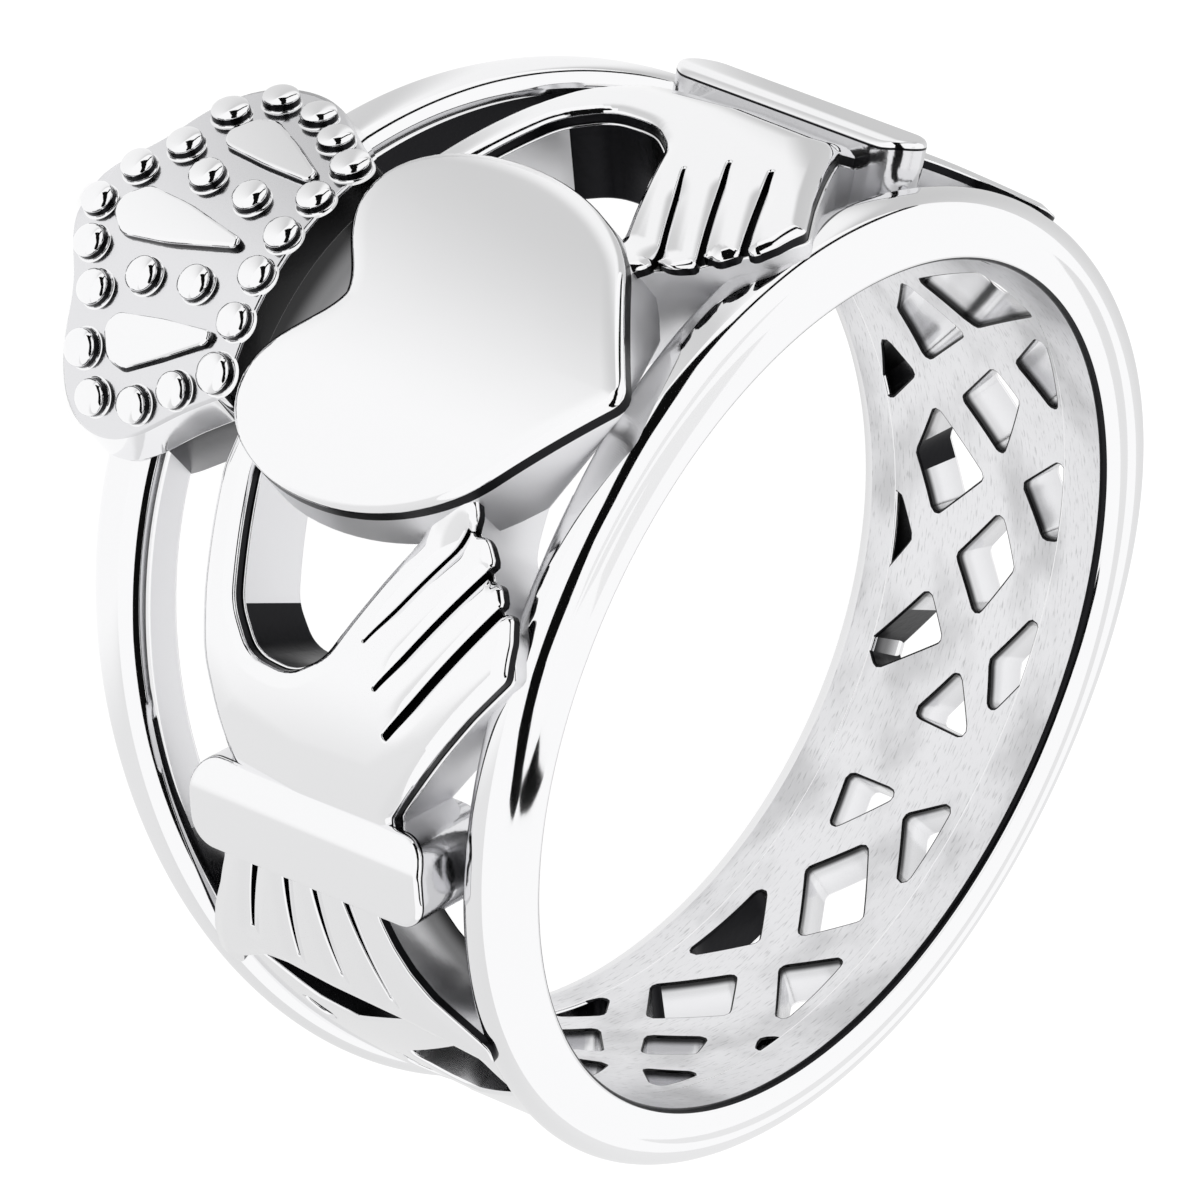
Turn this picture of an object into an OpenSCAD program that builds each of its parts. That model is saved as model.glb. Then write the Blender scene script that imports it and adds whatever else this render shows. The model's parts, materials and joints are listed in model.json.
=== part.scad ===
// Claddagh ring, cast in one piece: two hands hold a crowned heart on a pierced, tapering band.
// The ring lies on its lower rail and the tip of its crown, with the heart facing -Y.
// Inside the rest() module everything is in the bore's own frame: the bore runs along Z,
// the heart faces -Y, and angles are counted about the bore from the heart towards +X.

/* [Bore and rails] */
// Radius of the finger hole
bore_r = 9.5; // [8:0.1:11]
// Wall of the two edge rails, from the bore out
rail_wall = 1.39; // [1.1:0.05:1.8]
// Height of each rail along the bore
rail_h = 1.3; // [1:0.05:1.6]
// Rounding of a rail's outer edges
rail_round = 0.6; // [0.2:0.05:0.6]
// Upper rail's edge above the middle, at the sides
upper_side = 4.84; // [4.3:0.05:5.4]
// What the upper edge gains at the heart and loses at the back
upper_swing = 1.77; // [1:0.05:2.2]
// Lower rail's edge below the middle, at the sides
lower_side = 4.3; // [3.9:0.05:4.9]
// What the lower edge gains at the heart
lower_front = 2.8; // [2:0.05:3.4]
// What the lower edge loses at the back
lower_back = 1.1; // [0.6:0.05:1.4]
// Wall of the pierced band, from the bore out
band_wall = 1.1; // [0.8:0.05:1.3]

/* [Heart] */
// Thickness of the heart, from the bore out
heart_wall = 2.85; // [2.3:0.05:3.3]
// Width of the heart across its lobes
heart_w = 8.5; // [7.5:0.1:9.3]
// Height of the heart's point above the middle
heart_point = 6.6; // [6:0.05:6.8]
// Height where the heart's straight sides begin
heart_corner = 4.4; // [3.8:0.05:4.8]
// Width of the heart where its straight sides begin
heart_corner_w = 5.5; // [5:0.1:6]
// Depth of the lobes below the middle
heart_low = 2.7; // [2.3:0.05:2.9]
// Depth of the notch below the middle
heart_notch = 1.38; // [1:0.05:1.8]

/* [Crown] */
// Thickness of the crown, from the bore out
crown_wall = 2.95; // [2.5:0.05:3.4]
// Width of the crown
crown_w = 8.7; // [8:0.1:9.4]
// Depth of the crown's base below the middle
crown_base = 2.85; // [2.7:0.05:3]
// Depth of the crown's tip below the middle
crown_tip = 8.86; // [8.4:0.02:9.2]
// Radius of the beads
bead_r = 0.38; // [0.3:0.02:0.44]
// How far the beads' centres lie inside the crown's edge
bead_inset = 0.52; // [0.46:0.02:0.6]
// How far the three flat panels stand out
panel_rise = 0.18; // [0.1:0.02:0.3]

/* [Hands and cuffs] */
// Thickness of the hands, from the bore out
hand_wall = 2.1; // [1.7:0.05:2.4]
// Depth of the grooves between the fingers
groove_depth = 0.4; // [0.2:0.05:0.7]
// Width of the grooves between fingers and between ribs
groove_w = 0.26; // [0.15:0.01:0.35]
// Thickness of the cuff bars, from the bore out
cuff_wall = 2.4; // [2.2:0.05:2.8]
// Angle of a cuff bar's middle
cuff_angle = 55.5; // [54:0.5:57]
// Width of a cuff bar
cuff_w = 2.0; // [1.6:0.05:2.4]
// Upper end of a cuff bar
cuff_top = 4.25; // [4:0.05:4.4]
// Lower end of a cuff bar, below the middle
cuff_low = 2.4; // [2.1:0.05:2.7]
// Thickness of the ribbed sleeves, from the bore out
sleeve_wall = 1.65; // [1.45:0.05:1.9]

/* [Hidden] */

rail_r = bore_r + rail_wall;
bar_r = rail_r - rail_round;
// Slopes of the rails along Y
upper_slope = -upper_swing / bar_r;
lower_front_slope = lower_front / bar_r;
lower_back_slope = lower_back / bar_r;
// Longer and deeper than any piece of the ring
reach = 2 * rail_r;
// Extrusions start this far from the axis, inside the finger hole, which is cut afterwards
core = 0.78 * bore_r;

// The ring stands on the crown's tip, cut flat there, and on the back of its lower rail
tip_y = -(bore_r + crown_wall);
tip_z = -crown_tip + 0.04;
back_y = bar_r;
back_z = -lower_side + lower_back_slope * back_y + rail_round;
stance = sqrt(pow(back_y - tip_y, 2) + pow(back_z - tip_z, 2));
rest_tilt = atan2(back_z - tip_z, back_y - tip_y) - asin(rail_round / stance);
lift = tip_y * sin(rest_tilt) - tip_z * cos(rest_tilt);
// Front and back of the ring as it lies, from which it is centred
front_y = tip_y * cos(rest_tilt) + tip_z * sin(rest_tilt);
rear_y = rail_r * cos(rest_tilt)
    + (upper_side - upper_swing - rail_round) * sin(rest_tilt);
middle_y = (front_y + rear_y) / 2;

// Heights of the two rails' edges at an angle
function upper_edge(a) = upper_side + upper_swing * cos(a);
function lower_edge(a) = -lower_side - (cos(a) > 0 ? lower_front : lower_back) * cos(a);
// A height given as a share: 1 is the upper edge, -1 the lower one
function at_share(a, s) =
    (upper_edge(a) + lower_edge(a)) / 2 + s * (upper_edge(a) - lower_edge(a)) / 2;

function bezier(p0, p1, p2, p3, n) = [
    for (i = [0:n - 1])
        let (t = i / n, u = 1 - t)
        u * u * u * p0 + 3 * u * u * t * p1 + 3 * u * t * t * p2 + t * t * t * p3
];
function mirrored(half) = concat(half, [
    for (i = [len(half) - 1:-1:0]) if (abs(half[i][0]) > 0.001) [-half[i][0], half[i][1]]
]);
function middle_angle(corners) = (min([for (c = corners) c[0]]) + max([for (c = corners) c[0]])) / 2;

// Hand, seen from outside: angle in degrees, height as a share of the bore's radius
HAND = [
    [15.5, -0.30], [20, -0.30], [25, -0.255], [36, -0.24], [42, -0.21], [51, -0.15],
    [51, 0.34], [45, 0.44], [31, 0.62], [22, 0.63], [18.5, 0.54], [15.5, 0.46], [10, 0.42],
    [14, 0.34], [20, 0.30], [25, 0.245], [30, 0.19], [34.5, 0.115], [37, 0.07], [38, 0.0],
    [37.5, -0.08], [36, -0.13], [33, -0.16], [25, -0.175], [15.5, -0.20],
];
// Grooves between the fingers: angle and height at the tip, then at the palm
FINGER_GROOVES = [
    [15.5, 0.44, 30.7, 0.255],
    [18.5, 0.52, 35.5, 0.29],
    [21.5, 0.62, 40.0, 0.34],
];
// Sleeve, from the cuff to the lattice
SLEEVE = [
    [57, -0.22], [63.5, -0.23], [68, -0.27], [72, -0.315], [76, -0.35], [80, -0.37], [82, -0.32],
    [80, -0.30], [77.5, -0.20], [77.3, -0.13], [78.3, 0.0], [79, 0.2], [79.5, 0.27], [81, 0.47],
    [78, 0.48], [76, 0.43], [73, 0.35], [70, 0.305], [67, 0.275], [63.5, 0.25], [57, 0.25],
];
// Grooves between the sleeve's ribs: angle and height at the cuff, then at the lattice
RIB_GROOVES = [
    [57, 0.17, 76, 0.20],
    [57, 0.06, 74.5, 0.04],
    [57, -0.02, 75, -0.09],
    [57, -0.10, 74, -0.21],
];
// Openings beside each sleeve: corners as angle and share of the band's half height
SIDE_WINDOWS = [
    [[50, 1.0], [50, 0.42], [63.5, 0.41], [70, 0.48], [75.5, 0.70], [78, 0.95]],
    [[50, -1.0], [50, -0.47], [63.5, -0.47], [72, -0.60], [79, -0.80], [79, -1.0]],
    [[79.5, 0.46], [81, 0.43], [89.2, -0.25], [88, -0.44], [82, -0.63], [80, -0.62], [77.3, -0.35]],
    [[85, 0.52], [87, 0.60], [93, 0.69], [101, 0.22], [100, 0.15], [95, -0.06]],
    [[87.5, -0.63], [92.5, -0.48], [94, -0.57]],
];
// Openings of the lattice round the back, one row for each, in the same measures
WINDOWS = [
    [[97.5, 0.70], [106, 0.44], [112.5, 0.66]],
    [[97.5, -0.21], [104, -0.35], [111.5, -0.27], [104, 0.08]],
    [[110.5, -0.58], [121.5, -0.69], [115, -0.41]],
    [[112, 0.25], [119, -0.03], [125.5, 0.18], [116, 0.38]],
    [[121, -0.25], [127, -0.43], [134.5, -0.29], [129, -0.02]],
    [[124.5, 0.59], [129, 0.35], [134.5, 0.57]],
    [[133.5, 0.15], [138, -0.01], [142.7, 0.26], [138.5, 0.34]],
    [[133.5, -0.59], [136, -0.67], [142.7, -0.59], [138.5, -0.44]],
    [[142.3, -0.20], [148.5, -0.46], [155.7, -0.09], [149, 0.16]],
    [[143.7, 0.65], [147, 0.56], [149, 0.68]],
    [[150.7, 0.53], [160, 0.15], [165, 0.50]],
    [[155.7, -0.55], [171, -0.50], [162.5, -0.20]],
    [[166, 0.05], [175, -0.27], [181, 0.03], [171.5, 0.37]],
    [[176.5, 0.50], [186.5, 0.20], [190.2, 0.51]],
    [[181.5, -0.33], [189, -0.41], [189, 0.05]],
    [[199, 0.36], [199.5, -0.12], [206.5, 0.12]],
    [[203.5, -0.55], [206, -0.66], [215, -0.29], [209.5, -0.11]],
    [[203, 0.47], [209.5, 0.36], [217, 0.61], [211, 0.70]],
    [[214.5, 0.13], [221, -0.09], [228.7, 0.21], [222, 0.34]],
    [[213.5, -0.76], [228, -0.65], [221, -0.51]],
    [[225.5, -0.32], [233, -0.45], [240.7, -0.28], [233, 0.05]],
    [[228, 0.56], [234, 0.39], [240, 0.69], [228.5, 0.66]],
    [[237.5, 0.21], [244, -0.04], [251, 0.24], [247, 0.37]],
    [[238.5, -0.69], [249.5, -0.58], [245, -0.41]],
    [[247.5, 0.66], [254, 0.44], [262.5, 0.70]],
    [[248.5, -0.27], [256, -0.35], [262.5, -0.21], [256, 0.08]],
];
// Beads along half of the crown's edge: shares of its half width and of its height from base to tip
EDGE_BEADS = [
    [0, 1.0], [0.246, 0.951], [0.47, 0.862], [0.768, 0.789], [0.99, 0.679],
    [0.948, 0.455], [0.841, 0.283], [0.705, 0.083], [0.426, 0.072], [0.138, 0.083],
];
// Beads between the panels, in the same measures
FIELD_BEADS = [[0.324, 0.659], [0.279, 0.397]];

module rest() {
    translate([0, -middle_y, lift]) rotate([-rest_tilt, 0, 0]) children();
}

// Everything under the surface that the ring lies on
module ground() {
    rotate([rest_tilt, 0, 0]) translate([-reach, middle_y - reach, -lift - reach])
        cube([2 * reach, 2 * reach, reach]);
}

// Draws a shape given as it is seen from outside, straight out from the bore at an angle
module facing(a) {
    rotate([0, 0, a]) rotate([90, 0, 0]) translate([0, 0, core]) linear_extrude(reach) children();
}

// A block of the outline, as thick as wall beyond the bore
module block(a, points, wall) {
    intersection() {
        cylinder(r = bore_r + wall, h = 2 * reach, center = true, $fn = 180);
        facing(a) polygon(points);
    }
}

// Turns angles and heights given as shares of the bore's radius into an outline that faces a
function chart(table, a, wall) = [
    for (p = table) [(bore_r + wall) * sin(p[0] - a), bore_r * p[1]]
];

module grooves(table, wall) {
    floor_r = bore_r + wall - groove_depth;
    for (g = table) {
        a = (g[0] + g[2]) / 2;
        from = [floor_r * sin(g[0] - a), bore_r * g[1]];
        to = [floor_r * sin(g[2] - a), bore_r * g[3]];
        side = groove_w / 2 * [from[1] - to[1], to[0] - from[0]] / norm(to - from);
        intersection() {
            difference() {
                cylinder(r = reach, h = reach, center = true, $fn = 180);
                cylinder(r = floor_r, h = 2 * reach, center = true, $fn = 180);
            }
            facing(a) polygon([from + side, from - side, to - side, to + side]);
        }
    }
}

// Half of a rail, sheared so that its edge climbs along Y while the bore stays round
module half_rail(slope, turn) {
    upright = [for (a = [-90:18:90]) [bar_r + rail_round * cos(a), rail_round * sin(a)]];
    ring_half = concat(
        [[core, -rail_round]], upright,
        [[bar_r - 0.1, rail_h - rail_round], [core, rail_h - rail_round]]
    );
    multmatrix([[1, 0, 0, 0], [0, 1, 0, 0], [0, slope, 1, 0], [0, 0, 0, 1]])
        rotate([0, 0, turn]) rotate_extrude(angle = 180, $fn = 180) polygon(ring_half);
}

module rails() {
    translate([0, 0, upper_side - rail_round]) mirror([0, 0, 1]) {
        half_rail(-upper_slope, 0);
        half_rail(-upper_slope, 180);
    }
    translate([0, 0, -lower_side + rail_round]) {
        half_rail(lower_back_slope, 0);
        half_rail(lower_front_slope, 180);
    }
}

module window(corners) {
    a = middle_angle(corners);
    facing(a) polygon([for (c = corners) [bore_r * sin(c[0] - a), at_share(c[0], c[1])]]);
}

// The pierced band from cuff to cuff round the back, between the middles of the rails
module lattice() {
    inset = rail_h / 2;
    side_view = [
        [-reach, upper_side - upper_slope * reach - inset],
        [reach, upper_side + upper_slope * reach - inset],
        [reach, -lower_side + lower_back_slope * reach + inset],
        [0, -lower_side + inset],
        [-reach, -lower_side - lower_front_slope * reach + inset],
    ];
    difference() {
        intersection() {
            rotate([0, 0, cuff_angle - 90])
                rotate_extrude(angle = 360 - 2 * cuff_angle, $fn = 180)
                translate([core, -reach]) square([bore_r + band_wall - core, 2 * reach]);
            rotate([90, 0, 90]) linear_extrude(2 * reach, center = true) polygon(side_view);
        }
        for (w = WINDOWS) window(w);
        for (w = SIDE_WINDOWS) {
            window(w);
            mirror([1, 0, 0]) window(w);
        }
    }
}

module heart() {
    notch = [0, -heart_notch];
    low = [0.28 * heart_w, -heart_low];
    wide = [heart_w / 2, 0.3];
    corner = [heart_corner_w / 2, heart_corner];
    half = concat(
        bezier(notch, notch + [0.7, -0.15], low - [1.1, 0], low, 5),
        bezier(low, low + [1.2, 0], wide - [0, 1.7], wide, 6),
        bezier(wide, wide + [0, 1.7], corner + [0.85, -0.9], corner, 5),
        [corner, [0.15, heart_point], [0, heart_point + 0.05]]
    );
    block(0, mirrored(half), heart_wall);
}

// A bead's place on the crown, from its shares
function bead_place(b) = [
    b[0] * (crown_w / 2 - bead_inset),
    -crown_base - b[1] * (crown_tip - crown_base - bead_inset),
];

module bead(b) {
    p = bead_place(b);
    face_r = bore_r + crown_wall - 0.04;
    translate([p[0], -sqrt(pow(face_r, 2) - pow(p[0], 2)), p[1]]) sphere(r = bead_r, $fn = 24);
}

module crown() {
    half_w = crown_w / 2;
    h = crown_tip - crown_base;
    // Half of the edge: shares of the half width and of the height from base to tip
    edge = [
        [0, 0.015], [0.55, 0.0], [0.73, -0.02], [0.80, 0.07], [0.89, 0.21], [0.97, 0.35], [1.0, 0.46],
        [1.0, 0.60], [0.95, 0.71], [0.83, 0.78], [0.69, 0.81], [0.56, 0.825], [0.46, 0.86],
        [0.36, 0.92], [0.22, 0.975], [0.11, 0.995], [0, 1.0],
    ];
    outline = [for (p = edge) [p[0] * half_w, -crown_base - p[1] * h]];
    difference() {
        block(0, mirrored(outline), crown_wall);
        ground();
    }
    for (b = EDGE_BEADS) {
        bead(b);
        if (b[0] > 0) mirror([1, 0, 0]) bead(b);
    }
    for (b = FIELD_BEADS) {
        bead(b);
        mirror([1, 0, 0]) bead(b);
    }
    // Panels: narrow at the base, round at the tip, in the same shares
    middle_panel = [[0.04, 0.35], [0.13, 0.74], [0.09, 0.80], [0, 0.82]];
    side_panel = [[0.46, 0.23], [0.72, 0.49], [0.71, 0.56], [0.64, 0.63], [0.54, 0.65], [0.50, 0.62]];
    block(0, mirrored([for (p = middle_panel) [p[0] * half_w, -crown_base - p[1] * h]]),
        crown_wall + panel_rise);
    for (side = [-1, 1])
        block(0, [for (p = side_panel) [side * p[0] * half_w, -crown_base - p[1] * h]],
            crown_wall + panel_rise);
}

module hand() {
    a = 32;
    difference() {
        block(a, chart(HAND, a, hand_wall), hand_wall);
        grooves(FINGER_GROOVES, hand_wall);
    }
}

module cuff() {
    round_r = cuff_w / 2 - 0.1;
    end_arc = [for (t = [0:20:180]) [round_r * cos(t), round_r * sin(t)]];
    flat_side = cuff_w / 2 - round_r;
    outline = concat(
        [for (p = end_arc) [p[0] + sign(p[0]) * flat_side, p[1] + cuff_top - round_r]],
        [for (p = end_arc) [-p[0] - sign(p[0]) * flat_side, -p[1] - cuff_low + round_r]]
    );
    block(cuff_angle, outline, cuff_wall);
}

module sleeve() {
    a = 69;
    difference() {
        block(a, chart(SLEEVE, a, sleeve_wall), sleeve_wall);
        grooves(RIB_GROOVES, sleeve_wall);
    }
}

// Cuts the finger hole through one piece
module bored() {
    difference() {
        children();
        cylinder(r = bore_r, h = 2 * reach, center = true, $fn = 180);
    }
}

module ring() {
    color("silver") rest() union() {
        bored() rails();
        bored() lattice();
        bored() heart();
        bored() crown();
        for (side = [0, 1]) mirror([side, 0, 0]) {
            bored() hand();
            bored() cuff();
            bored() sleeve();
        }
    }
}

ring();
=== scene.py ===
"""Claddagh ring of polished steel, dressed over its solid model.

Shapes are worked out in millimetres in the finger hole's own frame: Z runs along the hole, the heart
faces -Y, and angles are counted about the hole from the heart towards +X. row_frame() lays them down
where the solid model lies, in metres.
"""
import json
import math

import bpy
import numpy as np
from mathutils import Matrix


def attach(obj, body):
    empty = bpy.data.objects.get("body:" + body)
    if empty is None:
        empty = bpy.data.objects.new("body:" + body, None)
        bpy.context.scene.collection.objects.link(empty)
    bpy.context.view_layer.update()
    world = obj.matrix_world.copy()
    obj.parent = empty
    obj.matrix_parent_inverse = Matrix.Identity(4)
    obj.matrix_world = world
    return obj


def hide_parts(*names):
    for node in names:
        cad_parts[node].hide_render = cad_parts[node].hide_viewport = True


bl_info = {
    "name": "Claddagh Ring",
    "version": (1, 0, 0),
    "blender": (4, 5, 0),
    "location": "View3D > Sidebar > Claddagh Ring",
    "description": "Builds a cast claddagh ring with its heart, crown, hands and pierced band",
    "category": "Object",
}

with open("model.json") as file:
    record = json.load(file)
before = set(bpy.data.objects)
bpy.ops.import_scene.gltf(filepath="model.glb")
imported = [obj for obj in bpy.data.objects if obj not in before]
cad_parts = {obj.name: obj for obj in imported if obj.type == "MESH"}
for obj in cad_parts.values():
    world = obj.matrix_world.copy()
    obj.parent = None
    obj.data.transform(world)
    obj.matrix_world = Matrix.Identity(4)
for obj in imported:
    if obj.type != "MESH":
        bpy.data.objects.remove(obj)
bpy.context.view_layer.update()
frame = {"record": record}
HOLE = next(m for m in frame["record"]["mounts"] if m["name"] == "finger_hole")
HOLE_R = HOLE["dims"]["r_mm"]
# The finger hole's frame where the ring lies: across the hole, away from the heart, along the hole
AXES = np.array([[1.0, 0.0, 0.0], np.cross(HOLE["axis"], [1.0, 0.0, 0.0]), HOLE["axis"]])

# Hand, seen from outside: angle in degrees, height as a share of the hole's radius, corner radius in mm
HAND = [
    (15.0, -0.306, 0.2), (20, -0.309, 1.5), (34, -0.258, 1.5), (40, -0.234, 1.5), (47, -0.185, 0.4),
    (53.5, -0.15, 0.1), (53.5, 0.34, 0.1), (49.5, 0.343, 0.2), (42.4, 0.444, 1.5), (35.4, 0.545, 1.5),
    (30.0, 0.63, 0.35), (26.0, 0.628, 0.5), (23.1, 0.606, 0.2), (24.0, 0.568, 0.05),
    (22.9, 0.575, 0.25), (20.8, 0.547, 0.25), (21.2, 0.512, 0.05), (20.2, 0.524, 0.25),
    (16.9, 0.488, 0.25), (17.3, 0.445, 0.05), (15.3, 0.457, 0.25), (12.0, 0.42, 0.4),
    (8.0, 0.40, 0.1), (8.0, 0.33, 0.1), (13.9, 0.331, 0.3), (19.8, 0.292, 2.0),
    (34.8, 0.118, 1.6), (38.0, 0.02, 1.2), (37.6, -0.10, 0.9), (33.0, -0.171, 1.6),
    (19.6, -0.227, 1.0), (15.0, -0.235, 0.2),
]
# The same outline below the fingertips, where it runs straight past them
UNDER_TIPS = [
    (26.2, 0.612, 0.5), (24.0, 0.562, 0.5), (21.2, 0.507, 1.0), (17.3, 0.440, 1.0), (15.0, 0.427, 0.4),
]
# Grooves between the fingers: angle and height at the tip, then at the palm, widths in mm at both
# ends, and how far the groove runs on past the tip
RIGHT_GROOVES = [
    (17.0, 0.43, 31.6, 0.228, 0.07, 0.06, 0.0),
    (20.4, 0.505, 35.9, 0.284, 0.14, 0.1, 0.5),
    (22.9, 0.583, 40.3, 0.335, 0.19, 0.17, 0.5),
]
LEFT_GROOVES = [
    (17.4, 0.435, 31.6, 0.235, 0.1, 0.06, 0.2),
    (20.4, 0.505, 35.4, 0.295, 0.12, 0.08, 0.5),
    (22.9, 0.583, 36.5, 0.40, 0.15, 0.1, 0.5),
]
# Soft ridge of the palm, beyond which the hand falls away to the wrist
PALM_RIDGE = [
    (34.0, -0.260), (37.7, -0.227), (43.1, -0.131), (45.3, 0.067), (44.9, 0.305), (38.9, 0.433),
    (30.7, 0.562), (25.0, 0.66),
]
# Sleeve, from the cuff to the lattice
SLEEVE = [
    (57, -0.22, 0.1), (63.5, -0.23, 0.6), (68, -0.27, 0.8), (72, -0.315, 0.8), (76, -0.35, 0.8),
    (80, -0.37, 0.3), (82, -0.32, 0.3), (80, -0.30, 0.3), (77.5, -0.20, 0.4), (77.3, -0.13, 0.4),
    (78.3, 0.0, 0.8), (79, 0.2, 0.4), (79.5, 0.27, 0.4), (81, 0.47, 0.2), (78, 0.48, 0.2),
    (76, 0.43, 0.5), (73, 0.35, 0.8), (70, 0.305, 0.8), (67, 0.275, 0.8), (63.5, 0.25, 0.6),
    (57, 0.25, 0.1),
]
# Grooves between the sleeve's ribs, in the same measures, from the cuff to the lattice
RIB_GROOVES = [
    (57, 0.12, 76.2, 0.203, 0.20, 0.04, 0),
    (57, 0.045, 75.5, 0.055, 0.20, 0.04, 0),
    (57, -0.02, 75.1, -0.075, 0.20, 0.04, 0),
    (57, -0.09, 73.3, -0.206, 0.20, 0.06, 0),
]
# Openings beside each sleeve: corners as angle and share of the band's half height
SIDE_WINDOWS = [
    [(49, 1.06), (49, 0.42), (63.5, 0.41), (70, 0.48), (75.5, 0.70), (78, 0.95)],
    [(49, -1.06), (49, -0.47), (63.5, -0.47), (72, -0.60), (79, -0.80), (79, -1.0)],
    [(79.5, 0.46), (81, 0.43), (89.2, -0.25), (88, -0.44), (82, -0.63), (80, -0.62), (77.3, -0.35)],
    [(85, 0.52), (87, 0.60), (93, 0.69), (101, 0.22), (100, 0.15), (95, -0.06)],
    [(87.5, -0.63), (92.5, -0.48), (94, -0.57)],
]
# Openings of the lattice round the back, one row for each, in the same measures
WINDOWS = [
    [(97.5, 0.70), (106, 0.44), (112.5, 0.66)],
    [(97.5, -0.21), (104, -0.35), (111.5, -0.27), (104, 0.08)],
    [(110.5, -0.58), (121.5, -0.69), (115, -0.41)],
    [(112, 0.25), (119, -0.03), (125.5, 0.18), (116, 0.38)],
    [(121, -0.25), (127, -0.43), (134.5, -0.29), (129, -0.02)],
    [(124.5, 0.59), (129, 0.35), (134.5, 0.57)],
    [(133.5, 0.15), (138, -0.01), (142.7, 0.26), (138.5, 0.34)],
    [(133.5, -0.59), (136, -0.67), (142.7, -0.59), (138.5, -0.44)],
    [(142.3, -0.20), (148.5, -0.46), (155.7, -0.09), (149, 0.16)],
    [(143.7, 0.65), (147, 0.56), (149, 0.68)],
    [(150.7, 0.53), (160, 0.15), (165, 0.50)],
    [(155.7, -0.55), (171, -0.50), (162.5, -0.20)],
    [(166, 0.05), (175, -0.27), (181, 0.03), (171.5, 0.37)],
    [(176.5, 0.50), (186.5, 0.20), (190.2, 0.51)],
    [(181.5, -0.33), (189, -0.41), (189, 0.05)],
    [(199, 0.36), (199.5, -0.12), (206.5, 0.12)],
    [(203.5, -0.55), (206, -0.66), (215, -0.29), (209.5, -0.11)],
    [(203, 0.47), (209.5, 0.36), (217, 0.61), (211, 0.70)],
    [(214.5, 0.13), (221, -0.09), (228.7, 0.21), (222, 0.34)],
    [(213.5, -0.76), (228, -0.65), (221, -0.51)],
    [(225.5, -0.32), (233, -0.45), (240.7, -0.28), (233, 0.05)],
    [(228, 0.56), (234, 0.39), (240, 0.69), (228.5, 0.66)],
    [(237.5, 0.21), (244, -0.04), (251, 0.24), (247, 0.37)],
    [(238.5, -0.69), (249.5, -0.58), (245, -0.41)],
    [(247.5, 0.66), (254, 0.44), (262.5, 0.70)],
    [(248.5, -0.27), (256, -0.35), (262.5, -0.21), (256, 0.08)],
]
# The crown leans a little, in degrees, about a middle given by its height in mm. Its face falls back
# by the square of x times its curve. Its tables are drawn upright: x and z in mm
CROWN_LEAN = 2.0
CROWN_MIDDLE = -5.9
CROWN_CURVE = 0.085
CROWN_EDGE = [
    (0, -3.2, 9), (1.5, -3.2, 9), (2.98, -3.2, 0.12), (3.5, -4.2, 9), (4.12, -5.25, 9), (4.36, -6.0, 9),
    (4.38, -6.6, 9), (4.22, -7.15, 9), (3.85, -7.55, 9), (3.3, -7.82, 9), (2.65, -7.96, 9),
    (2.1, -8.05, 9), (1.65, -8.22, 9), (1.25, -8.48, 9), (0.85, -8.73, 9), (0.42, -8.9, 9),
    (0, -8.94, 9),
]
# Beads of the crown: x, z and radius in mm
BEADS = [
    (0.05, -8.40, 0.38), (0.95, -8.02, 0.38), (1.80, -7.42, 0.40), (2.95, -7.24, 0.42),
    (3.74, -6.66, 0.40), (3.64, -5.48, 0.40), (3.16, -4.48, 0.40), (2.62, -3.5, 0.44),
    (1.55, -3.5, 0.40), (0.5, -3.54, 0.40), (1.25, -6.3, 0.40), (1.08, -4.9, 0.40),
]
MIDDLE_PANEL = [
    (0.12, -4.38, 0.12), (0.5, -6.1, 4), (0.62, -7.35, 0.35), (0.2, -7.85, 0.4), (-0.2, -7.85, 0.4),
    (-0.62, -7.35, 0.35), (-0.5, -6.1, 4), (-0.12, -4.38, 0.12),
]
SIDE_PANEL = [
    (1.9, -3.92, 0.12), (2.2, -3.97, 0.12), (2.75, -5.05, 4), (3.16, -6.0, 0.35), (3.05, -6.5, 0.35),
    (2.45, -6.82, 0.35), (2.12, -6.55, 0.35), (1.97, -5.3, 4),
]

# How far the fingertips stand up, in mm, and how steeply the hands' backs fall beyond the palm's ridge
TIP_RISE = 0.5
WRIST_FALL = 0.27
# How far short of the rails' edges the lattice stops, hidden under the rails, in mm
UNDER_RAIL = 0.75
# The small move, in mm, over which slopes are measured
NUDGE = 0.004
# The camera was fitted to the photograph in the finger hole's frame: its directions and place in mm
CAMERA_RIGHT = [-0.5388, 0.4491, 0.7127]
CAMERA_DOWN = [0.807, 0.5178, 0.2838]
CAMERA_AHEAD = [-0.2416, 0.7281, -0.6415]
CAMERA_PLACE = [92.14, -277.5, 242.7]
CAMERA_LENS = 542.98


def linear(code):
    """Turns an sRGB hex colour into the linear values that the shaders want."""
    parts = [int(code[i:i + 2], 16) / 255 for i in (1, 3, 5)]
    return [c / 12.92 if c <= 0.04045 else ((c + 0.055) / 1.055) ** 2.4 for c in parts]


def size(name, default, description):
    """A length on the panel, in metres."""
    return bpy.props.FloatProperty(name=name, description=description, default=default, unit="LENGTH",
                                   precision=6)


def colour_of(name, code, description):
    """A colour on the panel, from its sRGB hex code."""
    return bpy.props.FloatVectorProperty(name=name, description=description, subtype="COLOR", min=0,
                                         max=1, default=linear(code))


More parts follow.
